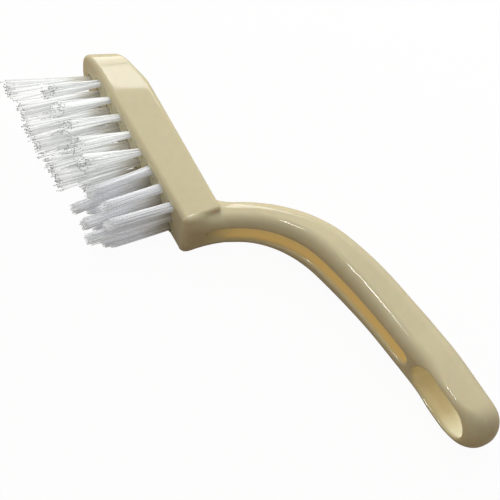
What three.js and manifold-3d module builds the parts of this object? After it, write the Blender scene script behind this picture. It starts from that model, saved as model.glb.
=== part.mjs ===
// Fish cleaning brush: one moulded body, two tufted bristle fields and the wire anchors that hold the tufts.
// Units are millimetres. The brush lies on its side: +X runs from toe to tail, +Y from the bristle face
// to the back, +Z up through the width. While it is built, x is 0 at the heel and y is 0 at the bristle face.
import * as THREE from "three";
import { mergeVertices } from "three/addons/utils/BufferGeometryUtils.js";
import Module from "manifold-3d";

const wasm = await Module();
wasm.setup();

// Head block
const HEAD_LENGTH = 82;
const HEAD_WIDTH = 19.5;
const HEAD_HEIGHT = 13.9;
const BACK_RISE = 1.75;
const FACE_EDGE_RADIUS = 2.2;
const BACK_EDGE_RADIUS = 1.5;
const TOE_PLAN_LENGTH = 12;
const TOE_PLAN_POWER = 2.6;
const TOE_SLANT = 5.7;
const TOE_BACK_START = 23;
const TOE_BACK_DROP = 4.6;
const TOE_BACK_BLEND = 4;
const TOE_FACE_LIFT = 0.9;
const TOE_FACE_LIFT_LENGTH = 3;
const HEEL_EDGE_RADIUS = 1.3;

// Neck and handle. The centre line starts inside the heel, leaves it straight and then bends in three arcs;
// the angles are measured from +X
const ROOT_IN = 4.6;
const ROOT_UP = 5;
const NECK_ANGLE = 67.5;
const NECK_STRAIGHT = 16.5;
const BEND_RADIUS = 41;
const BEND_END_ANGLE = 18;
const GRIP_RADIUS = 155;
const GRIP_END_ANGLE = 7.5;
const TAIL_RADIUS = 480;
const TAIL_END_ANGLE = 1.3;

// Section of the handle: its width, and its thickness to the back and to the underside of the centre line.
// Each pair of distances along the centre line is where one size changes into the next
const NECK_WIDTH = 15;
const GRIP_WIDTH = 19.2;
const WAIST_WIDTH = 17.8;
const TAIL_WIDTH = 19;
const NECK_BACK = 5.1;
const GRIP_BACK = 6.3;
const TAIL_BACK = 6.7;
const NECK_UNDER = 5.5;
const GRIP_UNDER = 7.6;
const TAIL_UNDER = 7.1;
const WIDEN = [17, 54];
const NARROW = [58, 84];
const TAIL_WIDEN = [90, 106];
const BACK_THICKEN = [24, 70];
const TAIL_THICKEN = [72, 88];
const UNDER_THICKEN = [14, 78];
const ROOT_FLARE = 3.2;
const ROOT_FLARE_END = 14;
const TAIL_ROUND = 13;
const TAIL_THICK_END = 0.3;
const TAIL_PLAN_POWER = 2.4;
const TAIL_THICK_POWER = 2.8;
const OUTER_RADIUS = 5;
const INNER_RADIUS = 4.3;
const SLOT_INNER_RADIUS = 2.4;
const INNER_SHARPEN = [98, 110];

// Cored groove along the handle's underside, by distance along the centre line
const GROOVE_WIDTH = 6.4;
const GROOVE_DEPTH = 5;
const GROOVE_START = 5;
const GROOVE_END = 96.5;
const GROOVE_DEEPEN = [2, 18];
const GROOVE_FLOOR_RADIUS = 2;
const GROOVE_MOUTH_RADIUS = 0.3;

// Hanging slot through the tail, wider at its mouth in the underside than at the back of the handle;
// its middle is set back from the tail's end
const SLOT_FROM_TAIL = 18.7524;
const SLOT_LENGTH = 24.5;
const SLOT_WIDTH = 11;
const SLOT_FLARE_LENGTH = 0.95;
const SLOT_FLARE_WIDTH = 1.8;

// Tufts: three rows between the sides of the head, in columns from the heel to the nose tuft near the toe
const SIDE_TO_ROW = 4.15;
const HEEL_TO_COLUMN = 9.4;
const TOE_TO_NOSE = 8.9;
const NOSE_STEP = 7;
const COLUMNS = 8;
const FINE_COLUMNS = 3;
const HOLE_RADIUS = 2.1;
const HOLE_DEPTH = 10;
const TUFT_RADIUS = 1.75;
const CLEARANCE = 0.3;
const SLICE = 2;
const SLICE_RIM = 2.3;
const SLICE_END_RIM = 4.2;
const SLICE_HEEL_MARGIN = 4.2;
const SLICE_CORNER_LENGTH = 8;
const RIDGE_COARSE = 30;
const FALL_COARSE = 1.9;
const RIDGE_FINE = 29.5;
const FALL_FINE = 1.35;
const STRAND_COARSE = 0.3;
const STRAND_FINE = 0.34;
const STRAND_ROOT = 0.8;
const SPREAD_COARSE_X = 1.75;
const SPREAD_FINE_X = 1.12;
const SPREAD_Z = 1.12;
const LEAN_TOE = 0.115;
const LEAN_NOSE = 0.22;
const LEAN_FINE = [0.08, 0.01, -0.03];
const LEAN_SIDE_COARSE = 0.09;
const LEAN_SIDE_FINE = 0.01;
const UNEVEN = 0.5;

// Wire anchor at the bottom of each hole
const ANCHOR_LENGTH = 5.2;
const ANCHOR_THICK = 0.5;
const ANCHOR_DEEP = 2.2;
const ANCHOR_TOP = 8.8;

// Overlap of a cut past the surface that it opens
const CUT_OVER = 3;

const MID_Z = HEAD_WIDTH / 2;
const ROWS_APART = MID_Z - SIDE_TO_ROW;
const LAST_COLUMN = -HEEL_TO_COLUMN;
const NOSE_X = -HEAD_LENGTH + TOE_TO_NOSE;
const PITCH = (LAST_COLUMN - NOSE_X - NOSE_STEP) / (COLUMNS - 1);

function toGeometry(points, faces) {
  const geometry = new THREE.BufferGeometry();
  geometry.setAttribute("position", new THREE.Float32BufferAttribute(points.flat(), 3));
  geometry.setIndex(faces.flat());
  return geometry;
}

// Skins a list of equal rings, with a fan over each end
function loft(rings) {
  const count = rings[0].length;
  const points = rings.flat();
  const faces = [];
  for (let i = 0; i + 1 < rings.length; i += 1) {
    for (let j = 0; j < count; j += 1) {
      const a = i * count + j;
      const b = i * count + ((j + 1) % count);
      faces.push([a, b, b + count], [a, b + count, a + count]);
    }
  }
  const centre = (ring) => ring
    .reduce((sum, p) => [sum[0] + p[0] / count, sum[1] + p[1] / count, sum[2] + p[2] / count], [0, 0, 0]);
  const first = points.push(centre(rings[0])) - 1;
  const last = points.push(centre(rings[rings.length - 1])) - 1;
  const base = (rings.length - 1) * count;
  for (let j = 0; j < count; j += 1) {
    const next = (j + 1) % count;
    faces.push([first, next, j], [last, base + j, base + next]);
  }
  return toGeometry(points, faces);
}

function solid(geometry) {
  const bare = geometry.clone();
  bare.deleteAttribute("normal");
  bare.deleteAttribute("uv");
  const merged = mergeVertices(bare, 1e-5);
  const mesh = new wasm.Mesh({
    numProp: 3,
    vertProperties: new Float32Array(merged.attributes.position.array),
    triVerts: new Uint32Array(merged.index.array),
  });
  const made = new wasm.Manifold(mesh);
  if (made.volume() > 0) return made;
  const flipped = [];
  const index = merged.index.array;
  for (let i = 0; i < index.length; i += 3) flipped.push(index[i], index[i + 2], index[i + 1]);
  return new wasm.Manifold(new wasm.Mesh({
    numProp: 3,
    vertProperties: new Float32Array(merged.attributes.position.array),
    triVerts: new Uint32Array(flipped),
  }));
}

function fuse(list) {
  let level = list;
  while (level.length > 1) {
    const next = [];
    for (let i = 0; i < level.length; i += 2) {
      next.push(i + 1 < level.length ? level[i].add(level[i + 1]) : level[i]);
    }
    level = next;
  }
  return level[0];
}

function box(x0, x1, y0, y1, z0, z1) {
  const geometry = new THREE.BoxGeometry(x1 - x0, y1 - y0, z1 - z0);
  geometry.translate((x0 + x1) / 2, (y0 + y1) / 2, (z0 + z1) / 2);
  return geometry;
}

// A round bar along Y
function bar(x, z, radius, y0, y1, sides) {
  const geometry = new THREE.CylinderGeometry(radius, radius, y1 - y0, sides);
  geometry.translate(x, (y0 + y1) / 2, z);
  return geometry;
}

// Closed outline of a rounded rectangle: u runs across the width, v across the thickness
function roundedOutline(halfU, v0, v1, radiusLow, radiusHigh, steps) {
  const ring = [];
  const low = Math.min(radiusLow, halfU * 0.98, (v1 - v0) * 0.48);
  const high = Math.min(radiusHigh, halfU * 0.98, (v1 - v0) * 0.48);
  const corners = [
    [halfU - low, v0 + low, low, -90],
    [halfU - high, v1 - high, high, 0],
    [-halfU + high, v1 - high, high, 90],
    [-halfU + low, v0 + low, low, 180],
  ];
  for (const [u, v, r, start] of corners) {
    for (let i = 0; i <= steps; i += 1) {
      const a = THREE.MathUtils.degToRad(start + (90 * i) / steps);
      ring.push([u + r * Math.cos(a), v + r * Math.sin(a)]);
    }
  }
  return ring;
}

// Head: rings across the block at stations from the toe to the heel
function headSolid() {
  const rings = [];
  const toe = [0.15, 0.6, 1.5, 3, 5, 7.5, 10, TOE_PLAN_LENGTH];
  const blend = [-1, -0.4, 0.2, 1].map((k) => TOE_BACK_START + TOE_BACK_BLEND * k);
  const stations = [...toe, ...blend, HEAD_LENGTH / 2];
  const heel = [1, 0.62, 0.31, 0.08, 0].map((k) => HEEL_EDGE_RADIUS * k);
  for (const d of stations) rings.push(headRing(d, 0));
  for (const d of heel) {
    const k = 1 - d / HEEL_EDGE_RADIUS;
    rings.push(headRing(HEAD_LENGTH - d, HEEL_EDGE_RADIUS * (1 - Math.sqrt(Math.max(0, 1 - k * k)))));
  }
  return solid(loft(rings));
}

// Zero below the start and a straight ramp above it, with a soft bend between the two
function softRamp(value, blend) {
  if (value < -blend) return 0;
  return value > blend ? value : (value + blend) ** 2 / (4 * blend);
}

// Ring of the head at a distance from the toe; the toe is an ellipse in plan, and in profile it leans back
// under a straight chamfer
function headRing(d, inset) {
  const reach = Math.min(d / TOE_PLAN_LENGTH, 1);
  const half = MID_Z * Math.sqrt(1 - (1 - reach) ** TOE_PLAN_POWER) - inset;
  const nose = Math.max(0, 1 - d / TOE_BACK_START);
  const chamfer = (TOE_BACK_DROP / TOE_BACK_START) * softRamp(TOE_BACK_START - d, TOE_BACK_BLEND);
  const top = HEAD_HEIGHT + BACK_RISE * (1 - d / HEAD_LENGTH) - chamfer - inset;
  const lift = TOE_FACE_LIFT * Math.max(0, 1 - d / TOE_FACE_LIFT_LENGTH) ** 2;
  const ring = roundedOutline(half, inset + lift, top, FACE_EDGE_RADIUS, BACK_EDGE_RADIUS, 4);
  return ring.map(([u, v]) => {
    const slant = TOE_SLANT * (v / HEAD_HEIGHT) * nose;
    return [-HEAD_LENGTH + d + slant, v, MID_Z + u];
  });
}

// Centre line of the neck and handle as lengths of arc, each with the angle it ends at
const rad = THREE.MathUtils.degToRad;
const runs = [
  { turn: 0, radius: 0, length: NECK_STRAIGHT },
  { turn: rad(NECK_ANGLE - BEND_END_ANGLE), radius: BEND_RADIUS },
  { turn: rad(BEND_END_ANGLE - GRIP_END_ANGLE), radius: GRIP_RADIUS },
  { turn: rad(GRIP_END_ANGLE - TAIL_END_ANGLE), radius: TAIL_RADIUS },
];
for (const run of runs) run.length = run.turn ? run.turn * run.radius : run.length;
const LINE_LENGTH = runs.reduce((sum, run) => sum + run.length, 0);

// A size that changes along the centre line; each change gives the next size and where it comes in
function along(distance, first, ...changes) {
  let size = first;
  let last = first;
  for (const [next, range] of changes) {
    size += (next - last) * THREE.MathUtils.smoothstep(distance, ...range);
    last = next;
  }
  return size;
}

// Point, tangent, outward normal and section sizes at a distance along the centre line
function handleFrame(distance) {
  let angle = rad(NECK_ANGLE);
  let left = distance;
  const p = new THREE.Vector3(-ROOT_IN, ROOT_UP, 0);
  for (const run of runs) {
    const go = Math.min(left, run.length);
    if (go <= 0) break;
    if (run.turn) {
      const next = angle - go / run.radius;
      p.x += run.radius * (Math.sin(angle) - Math.sin(next));
      p.y += run.radius * (Math.cos(next) - Math.cos(angle));
      angle = next;
    } else {
      p.x += go * Math.cos(angle);
      p.y += go * Math.sin(angle);
    }
    left -= go;
  }
  const widths = [[GRIP_WIDTH, WIDEN], [WAIST_WIDTH, NARROW], [TAIL_WIDTH, TAIL_WIDEN]];
  return {
    p,
    normal: new THREE.Vector3(-Math.sin(angle), Math.cos(angle), 0),
    width: along(distance, NECK_WIDTH, ...widths),
    back: along(distance, NECK_BACK, [GRIP_BACK, BACK_THICKEN], [TAIL_BACK, TAIL_THICKEN])
      + along(distance, ROOT_FLARE, [0, [0, ROOT_FLARE_END]]),
    under: along(distance, NECK_UNDER, [GRIP_UNDER, UNDER_THICKEN], [TAIL_UNDER, TAIL_WIDEN]),
    inner: along(distance, INNER_RADIUS, [SLOT_INNER_RADIUS, INNER_SHARPEN]),
  };
}

function handleRing(distance) {
  const f = handleFrame(distance);
  const left = LINE_LENGTH - distance;
  const k = Math.max(0, 1 - left / TAIL_ROUND);
  const round = Math.sqrt(Math.max(0, 1 - k ** TAIL_PLAN_POWER));
  const half = (f.width / 2) * Math.max(round, 0.06);
  const thin = TAIL_THICK_END + (1 - TAIL_THICK_END) * Math.sqrt(1 - k ** TAIL_THICK_POWER);
  const ring = roundedOutline(half, -f.under * thin, f.back * thin, f.inner, OUTER_RADIUS, 4);
  return ring.map(([u, v]) => [f.p.x + f.normal.x * v, f.p.y + f.normal.y * v, MID_Z + u]);
}

function handleSolid() {
  const rings = [];
  const steps = 24;
  for (let i = 0; i <= steps; i += 1) rings.push(handleRing(((LINE_LENGTH - TAIL_ROUND) * i) / steps));
  for (const left of [0.78, 0.58, 0.4, 0.25, 0.13, 0.05, 0.01]) {
    rings.push(handleRing(LINE_LENGTH - TAIL_ROUND * left));
  }
  return solid(loft(rings));
}

// Groove cutter: follows the underside and closes to a round at both ends
function grooveSolid() {
  const half = GROOVE_WIDTH / 2;
  const ends = [0.06, 0.2, 0.45, 0.75].map((k) => k * half);
  const steps = 18;
  const run = GROOVE_END - GROOVE_START - GROOVE_WIDTH;
  const places = [...ends];
  for (let i = 0; i <= steps; i += 1) places.push(half + (run * i) / steps);
  for (const end of ends.toReversed()) places.push(GROOVE_END - GROOVE_START - end);
  const rings = places.map((place) => {
    const f = handleFrame(GROOVE_START + place);
    const near = Math.min(place, GROOVE_END - GROOVE_START - place, half);
    const wide = Math.sqrt(half ** 2 - (half - near) ** 2);
    const floor = along(GROOVE_START + place, -f.under, [GROOVE_DEPTH - f.under, GROOVE_DEEPEN]);
    const mouth = -f.under - CUT_OVER;
    const ring = roundedOutline(wide, mouth, floor, GROOVE_MOUTH_RADIUS, GROOVE_FLOOR_RADIUS, 3);
    return ring.map(([u, v]) => [f.p.x + f.normal.x * v, f.p.y + f.normal.y * v, MID_Z + u]);
  });
  return solid(loft(rings));
}

// Slot cutter: round-ended rings along Y, the flared mouth first
function slotSolid() {
  const tail = handleFrame(LINE_LENGTH).p;
  const middle = handleFrame(LINE_LENGTH - SLOT_FROM_TAIL);
  const steps = 10;
  const ring = (y, flare) => {
    const r = SLOT_WIDTH / 2 + SLOT_FLARE_WIDTH * flare;
    const straight = SLOT_LENGTH / 2 + SLOT_FLARE_LENGTH * flare - r;
    const points = [];
    for (const end of [1, -1]) {
      for (let i = 0; i <= steps; i += 1) {
        const a = Math.PI * (i / steps - 0.5);
        points.push([
          tail.x - SLOT_FROM_TAIL + end * (straight + r * Math.cos(a)), y, MID_Z + end * r * Math.sin(a),
        ]);
      }
    }
    return points;
  };
  const mouth = middle.p.y - middle.under;
  const back = middle.p.y + middle.back;
  return solid(loft([ring(mouth - CUT_OVER, 1), ring(mouth, 1), ring(back, 0), ring(back + CUT_OVER, 0)]));
}

// Places of the tufts: column 0 is the one next to the heel
const tufts = [];
for (let column = 0; column < COLUMNS; column += 1) {
  for (const row of [-1, 0, 1]) {
    tufts.push({ column, row, x: LAST_COLUMN - PITCH * column, fine: column < FINE_COLUMNS, nose: false });
  }
}
tufts.push({ column: COLUMNS, row: 0, x: NOSE_X, fine: false, nose: true });
for (const tuft of tufts) tuft.z = MID_Z + ROWS_APART * tuft.row;

// Outline of the slice of the bristle face that a field stands on, seen along Y
const SLICE_HALF = MID_Z - SLICE_RIM;
const SPLIT_X = LAST_COLUMN - PITCH * (FINE_COLUMNS - 0.5);
const SLICE_HEEL = LAST_COLUMN + SLICE_HEEL_MARGIN;
const SLICE_TOE = -HEAD_LENGTH + SLICE_END_RIM;
const SLICE_CORNER = SLICE_TOE + SLICE_CORNER_LENGTH;

function slicePrism(corners, y0, y1) {
  const ring = (y) => corners.map(([x, z]) => [x, y, z]);
  return solid(loft([ring(y0), ring(y1)]));
}

function coarseOutline(grow) {
  const half = SLICE_HALF + grow;
  return [
    [SPLIT_X - CLEARANCE / 2 + grow, MID_Z - half],
    [SPLIT_X - CLEARANCE / 2 + grow, MID_Z + half],
    [SLICE_CORNER, MID_Z + half],
    [SLICE_TOE + SLICE_CORNER_LENGTH * 0.3 - grow * 0.7, MID_Z + half * 0.72],
    [SLICE_TOE - grow, MID_Z + half * 0.34],
    [SLICE_TOE - grow, MID_Z - half * 0.34],
    [SLICE_TOE + SLICE_CORNER_LENGTH * 0.3 - grow * 0.7, MID_Z - half * 0.72],
    [SLICE_CORNER, MID_Z - half],
  ];
}

function fineOutline(grow) {
  const half = SLICE_HALF + grow;
  return [
    [SLICE_HEEL + grow, MID_Z - half],
    [SLICE_HEEL + grow, MID_Z + half],
    [SPLIT_X + CLEARANCE / 2 - grow, MID_Z + half],
    [SPLIT_X + CLEARANCE / 2 - grow, MID_Z - half],
  ];
}

// Body: head, neck and handle in one moulding, with its groove, slot, tuft bed and tuft holes
function bodySolid() {
  let body = headSolid().add(handleSolid());
  body = body.subtract(grooveSolid()).subtract(slotSolid());
  body = body.subtract(slicePrism(coarseOutline(CLEARANCE), -CUT_OVER, SLICE));
  body = body.subtract(slicePrism(fineOutline(CLEARANCE), -CUT_OVER, SLICE));
  const cuts = [];
  for (const { x, z } of tufts) {
    cuts.push(solid(bar(x, z, HOLE_RADIUS, SLICE - 0.5, HOLE_DEPTH, 12)));
    const reach = ANCHOR_LENGTH / 2 + CLEARANCE;
    const side = ANCHOR_THICK / 2 + CLEARANCE;
    const low = ANCHOR_TOP - ANCHOR_DEEP - CLEARANCE;
    cuts.push(solid(box(x - reach, x + reach, low, ANCHOR_TOP + CLEARANCE, z - side, z + side)));
  }
  return body.subtract(fuse(cuts));
}

// Strand places in a tuft, in rings round its middle
function strandPlaces(fine) {
  const rings = fine ? [[0, 1], [0.5, 6], [1, 12]] : [[0, 1], [0.52, 5], [1, 10]];
  const places = [];
  for (const [r, count] of rings) {
    for (let i = 0; i < count; i += 1) {
      const a = (2 * Math.PI * (i + (r === 1 ? 0.25 : 0))) / count;
      places.push([r * TUFT_RADIUS * Math.cos(a), r * TUFT_RADIUS * Math.sin(a)]);
    }
  }
  return places;
}

// One strand: a three-sided bar from inside the slice to its cut end
function strandSolid(tuft, place, index) {
  const ridge = tuft.fine ? RIDGE_FINE : RIDGE_COARSE;
  const fall = tuft.fine ? FALL_FINE : FALL_COARSE;
  const radius = tuft.fine ? STRAND_FINE : STRAND_COARSE;
  const spreadX = tuft.fine ? SPREAD_FINE_X : SPREAD_COARSE_X;
  const sideLean = (tuft.fine ? LEAN_SIDE_FINE : LEAN_SIDE_COARSE) * tuft.row;
  const toeLean = tuft.nose ? LEAN_NOSE : (tuft.fine ? LEAN_FINE[tuft.column] : LEAN_TOE);
  const uneven = UNEVEN * Math.sin(index * 2.4 + tuft.column * 1.7 + tuft.row);
  const off = Math.abs(tuft.row * ROWS_APART + place[1]);
  const length = ridge - fall * off + uneven;
  const share = length / ridge;
  const top = [
    tuft.x + place[0] * (1 + (spreadX - 1) * share) - toeLean * length,
    tuft.z + place[1] * (1 + (SPREAD_Z - 1) * share) + sideLean * length,
  ];
  const ring = (cx, cz, y) => [0, 1, 2].map((i) => {
    const a = (2 * Math.PI * i) / 3 + index;
    return [cx + radius * Math.cos(a), y, cz + radius * Math.sin(a)];
  });
  const foot = ring(tuft.x + place[0], tuft.z + place[1], STRAND_ROOT);
  const tip = ring(top[0], top[1], -length);
  const points = [...foot, ...tip];
  const faces = [[0, 1, 2], [3, 5, 4]];
  for (let i = 0; i < 3; i += 1) {
    const n = (i + 1) % 3;
    faces.push([i, i + 3, n], [n, i + 3, n + 3]);
  }
  return solid(toGeometry(points, faces));
}

// Folded root of a tuft: fills its hole and wraps over the anchor
function rootSolid({ x, z }) {
  const root = solid(bar(x, z, HOLE_RADIUS - CLEARANCE, SLICE - 0.6, HOLE_DEPTH - CLEARANCE, 12));
  const reach = ANCHOR_LENGTH / 2 + CLEARANCE;
  const side = ANCHOR_THICK / 2 + CLEARANCE;
  const low = ANCHOR_TOP - ANCHOR_DEEP - CLEARANCE;
  return root.subtract(solid(box(x - reach, x + reach, low, ANCHOR_TOP, z - side, z + side)));
}

function fieldSolid(fine) {
  const outline = fine ? fineOutline(0) : coarseOutline(0);
  const list = [slicePrism(outline, 0, SLICE)];
  for (const tuft of tufts.filter((t) => t.fine === fine)) {
    list.push(rootSolid(tuft));
    strandPlaces(fine).forEach((place, index) => list.push(strandSolid(tuft, place, index)));
  }
  return fuse(list);
}

const ivory = { color: 0xe3dab8, roughness: 0.28, metalness: 0 };
const clear = { color: 0xe8eaea, roughness: 0.4, metalness: 0 };
const white = { color: 0xf1f3f7, roughness: 0.6, metalness: 0 };
const steel = { color: 0xb9bcc0, roughness: 0.35, metalness: 1 };

const pieces = [
  ["brush_body", bodySolid(), ivory],
  ["coarse_bristle_field", fieldSolid(false), clear],
  ["fine_bristle_field", fieldSolid(true), white],
];
const rowNames = { "-1": "low", 0: "mid", 1: "top" };
for (const { x, z, row, column } of tufts) {
  const half = ANCHOR_LENGTH / 2;
  const low = ANCHOR_TOP - ANCHOR_DEEP;
  const geometry = box(x - half, x + half, low, ANCHOR_TOP, z - ANCHOR_THICK / 2, z + ANCHOR_THICK / 2);
  pieces.push([`anchor_${rowNames[row]}_${column + 1}`, solid(geometry), steel]);
}

// The finished part stands on z = 0 with the middle of its box over the origin
const reach = new THREE.Box3();
for (const [, made] of pieces) {
  const { min, max } = made.boundingBox();
  reach.expandByPoint(new THREE.Vector3(...min));
  reach.expandByPoint(new THREE.Vector3(...max));
}
const shift = [-(reach.min.x + reach.max.x) / 2, -(reach.min.y + reach.max.y) / 2, -reach.min.z];

const part = new THREE.Group();
part.name = "fish_cleaning_brush";
for (const [name, made, look] of pieces) {
  const mesh = made.getMesh();
  const geometry = new THREE.BufferGeometry();
  const flat = mesh.numProp === 3 ? mesh.vertProperties : [];
  geometry.setAttribute("position", new THREE.Float32BufferAttribute(flat, 3));
  geometry.setIndex(Array.from(mesh.triVerts));
  geometry.translate(...shift);
  const named = new THREE.Mesh(geometry, new THREE.MeshStandardMaterial(look));
  named.name = name;
  part.add(named);
}

export default part;
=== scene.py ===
import math
from typing import NamedTuple

import bpy
import numpy as np
from bpy.props import FloatProperty, FloatVectorProperty, IntProperty, PointerProperty
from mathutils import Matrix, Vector


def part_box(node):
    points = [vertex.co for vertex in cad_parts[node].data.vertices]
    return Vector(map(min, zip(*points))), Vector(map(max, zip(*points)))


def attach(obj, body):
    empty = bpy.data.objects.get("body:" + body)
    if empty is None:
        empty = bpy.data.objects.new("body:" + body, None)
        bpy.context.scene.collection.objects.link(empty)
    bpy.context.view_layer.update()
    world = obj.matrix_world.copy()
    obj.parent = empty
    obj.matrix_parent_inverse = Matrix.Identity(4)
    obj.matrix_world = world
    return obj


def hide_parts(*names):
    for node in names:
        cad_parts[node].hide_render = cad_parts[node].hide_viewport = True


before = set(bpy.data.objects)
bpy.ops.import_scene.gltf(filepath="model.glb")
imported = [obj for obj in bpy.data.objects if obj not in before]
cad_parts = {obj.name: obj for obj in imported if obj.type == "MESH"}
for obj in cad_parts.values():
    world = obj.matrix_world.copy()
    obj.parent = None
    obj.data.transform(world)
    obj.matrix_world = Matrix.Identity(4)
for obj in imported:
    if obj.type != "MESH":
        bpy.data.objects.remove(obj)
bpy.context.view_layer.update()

bl_info = {
    "name": "Fish cleaning brush",
    "version": (1, 0, 0),
    "blender": (4, 5, 0),
    "location": "View3D > Sidebar > Brush",
    "description": "Moulded body, folded tufts and studio of a fish cleaning brush",
    "category": "Object",
}

BODY = "root"
MM = 0.001

# Camera, lamps and floor, in metres; places and aims are measured from the heel
SENSOR_WIDTH_MM = 36.0
VIEW_REACH = 20.0
UPPER_PANE_SIZE = (0.42, 0.0236)
UPPER_PANE_PLACE = (-0.5226, 0.177, 0.6031)
LOWER_PANE_SIZE = (0.42, 0.535)
LOWER_PANE_PLACE = (-0.6831, 0.2353, 0.384)
TOE_SIDE = (-0.0576, 0.0077, 0.00975)
LAMP_SIZE = (0.05, 0.08)
LAMP_PLACE = (-0.062, -0.116, 0.61)
HANDLE_SIDE = (0.05, 0.044, 0.009)
BACK_SIZE = (0.3, 0.2)
BACK_PLACE = (-0.06, 0.3, 0.2)
FLOOR_REACH = 3.0
FLOOR_DROP = 0.0005

# Where the fill light is strongest and how tightly it gathers there
FILL_SIDE = (-0.6, -0.2, 0.775)
FILL_FOCUS = 1.8

# Share of the white background that a reflection shows, and share of the floor that takes no shadow
GLOSSY_WHITE = 0.12
FLOOR_WHITE = 0.955

# Fixed colours and levels of the finishes; a noise scale is in grains to the metre
WHITE = (1.0, 1.0, 1.0, 1.0)
FLOOR_MATT = (0.95, 0.95, 0.95, 1.0)
STEEL_DARK = (0.42, 0.43, 0.45, 1.0)
STEEL_LIGHT = (0.6, 0.61, 0.63, 1.0)
FLOW_SCALE = 55.0
PEEL_SCALE = 350.0
DRAWN_SCALE = 400.0
MOTTLE_LOW = 0.98
MOTTLE_HIGH = 1.04
MOTTLE_CUT = 0.3
MOTTLE_CONTRAST = 2.5
# Level of the strands' painted glow in painted shade, then share of light through a strand
GLOW_IN_SHADE = 0.2
THROUGH_STRAND = 0.3
# Painted shade on cut ends: how much lighter the palest is, and the level of a white strand's end
CUT_END_LIGHTEST = 5.0
WHITE_CUT_END = 0.62

# Shape of the moulding, in millimetres from the heel (x), the bristle face (y) and the middle plane (z)
TOE_PLAN_LENGTH = 12.0
TOE_PLAN_POWER = 2.6
TOE_SLANT = 5.7
TOE_BACK_START = 23.0
TOE_BACK_DROP = 4.6
TOE_BACK_BLEND = 4.0
TOE_FACE_LIFT = 0.9
TOE_FACE_LIFT_LENGTH = 3.0
HOLE_RADIUS = 2.1
HOLE_DEPTH = 10.0
HOLE_FLOOR_RADIUS = 0.5

# Centre line of the handle: its root, a straight neck, then bends of a radius down to an angle in degrees
ROOT_IN = 4.6
ROOT_UP = 5.0
NECK_ANGLE = 67.5
NECK_STRAIGHT = 16.5
BENDS = ((41.0, 18.0), (155.0, 7.5), (480.0, 1.3))

# Sections of the handle; a pair gives the stretch of centre line over which a size changes
NECK_WIDTH = 15.0
WAIST_WIDTH = 17.8
TAIL_WIDTH = 19.0
NECK_BACK = 5.1
NECK_UNDER = 5.5
TAIL_BACK = 6.7
TAIL_UNDER = 7.1
WIDEN = (17.0, 54.0)
NARROW = (58.0, 84.0)
TAIL_WIDEN = (90.0, 106.0)
BACK_THICKEN = (24.0, 80.0)
TAIL_THICKEN = (78.0, 92.0)
UNDER_THICKEN = (14.0, 78.0)
ROOT_FLARE = 3.2
ROOT_FLARE_END = 14.0
ROOT_END_RADIUS = 1.0
TAIL_ROUND = 10.5
TAIL_PLAN_POWER = 2.7
OUTER_RADIUS = 5.0
TAIL_OUTER_RADIUS = 6.4
INNER_RADIUS = 4.3
SLOT_INNER_RADIUS = 2.4
TAIL_INNER_RADIUS = 6.5
OUTER_SOFTEN = (100.0, 124.0)
INNER_SHARPEN = (102.0, 114.0)
INNER_SOFTEN = (118.0, 130.0)

# Heights over the centre line between which the large heel fillet gives way to the small neck fillet
HEEL_FILLET_FADE = (-7.0, -1.0)

# Groove and hanging slot, and the depths under the skin over which their walls take painted light and a
# painted glow
GROOVE_START = 5.0
GROOVE_END = 96.5
GROOVE_LEAD = 3.0
GROOVE_RAMP = 13.0
GROOVE_FLOOR_RADIUS = 2.0
GROOVE_TINT_LEAD = 4.0
GROOVE_TINT_DEPTH = (0.2, 2.2)
GROOVE_TINT_START = -2.0
RECESS_SPLIT = GROOVE_END + 1.0
SLOT_FROM_TAIL = 18.7524
SLOT_FLARE_LENGTH = 0.95
SLOT_FLARE_WIDTH = 1.8
SLOT_TINT_DEPTH = (0.3, 2.0)
TAIL_TINT_FULL = SLOT_FROM_TAIL / 3.0

# Skinning of the moulding: how far past their floors the holes count, how many cells are left free round
# the moulding, and how its points are settled
HOLE_MARGIN = 3.0
GRID_MARGIN = 2
SETTLE_ROUNDS = 4
SLOPE_STEP = 0.02
LEAST_SLOPE = 0.25
LONGEST_MOVE = 0.4
FAR_AWAY = 1e3
TINY = 1e-9

# Tufts and their anchors; a lean is in millimetres for each millimetre of strand
ANCHORS = sorted(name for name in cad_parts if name.startswith("anchor_"))
HEEL_TO_COLUMN = 9.4
ANCHOR_TOP = 8.8
ANCHOR_HALF = 0.25
FINE_COLUMNS = 3
NOSE_COLUMN = 9
ROWS = {"low": -1, "mid": 0, "top": 1}
LEAN_COARSE = 0.115
LEAN_NOSE = 0.22
LEAN_FINE = (0.08, 0.01, -0.03)
GOLDEN_TURN = math.pi * (3.0 - math.sqrt(5.0))
MOST_TRIES = 20

# Free part of a strand: how deep it starts in its hole, how it swells outwards, and how its cut varies
ROOT_SUNK = 0.6
SWELL_POWER = 1.15
CUT_LIMITS = (-1.6, 1.0)
TUFT_UNEVEN = 0.8

# Fold of a strand over its anchor, as heights over the bristle face, and how it is squeezed there
FOLD_START = 5.6
FOLD_SIDE = 8.2
FOLD_SHOULDER = 9.1
FOLD_TOP = 9.4
FOLD_SQUEEZE = 0.8
FOLD_GAP = 0.05
FOLD_SHOULDER_WIDTH = 0.7

# Shade among the strands: how far out it reaches, its share in each row and between a strand's two legs
ROOT_SHADE = 10.0
ROW_SHADE = {-1: 0.95, 0: 0.72, 1: 0.0}
LEG_SHADE = 0.22


class Strand(NamedTuple):
    """How strands of one kind are bundled, bent and cut.

    sides and steps count the corners of a strand's section and the points along its free part. wall_gap is
    the tuft's clearance in its hole. spread is how many times wider the tuft is at its ridge, along and
    across the head, and side_lean is how far its outer rows lean. uneven, stray and bow are the scatter of
    its cut, its lean and its bow. eased_end and end_radius are in strand radii, and dark_rim gives the eased
    rim the painted shade of the cut end. seed starts the random draws.
    """

    sides: int
    steps: int
    wall_gap: float
    spread: tuple
    side_lean: float
    uneven: float
    stray: float
    bow: float
    eased_end: float
    end_radius: float
    dark_rim: bool
    seed: int


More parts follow.
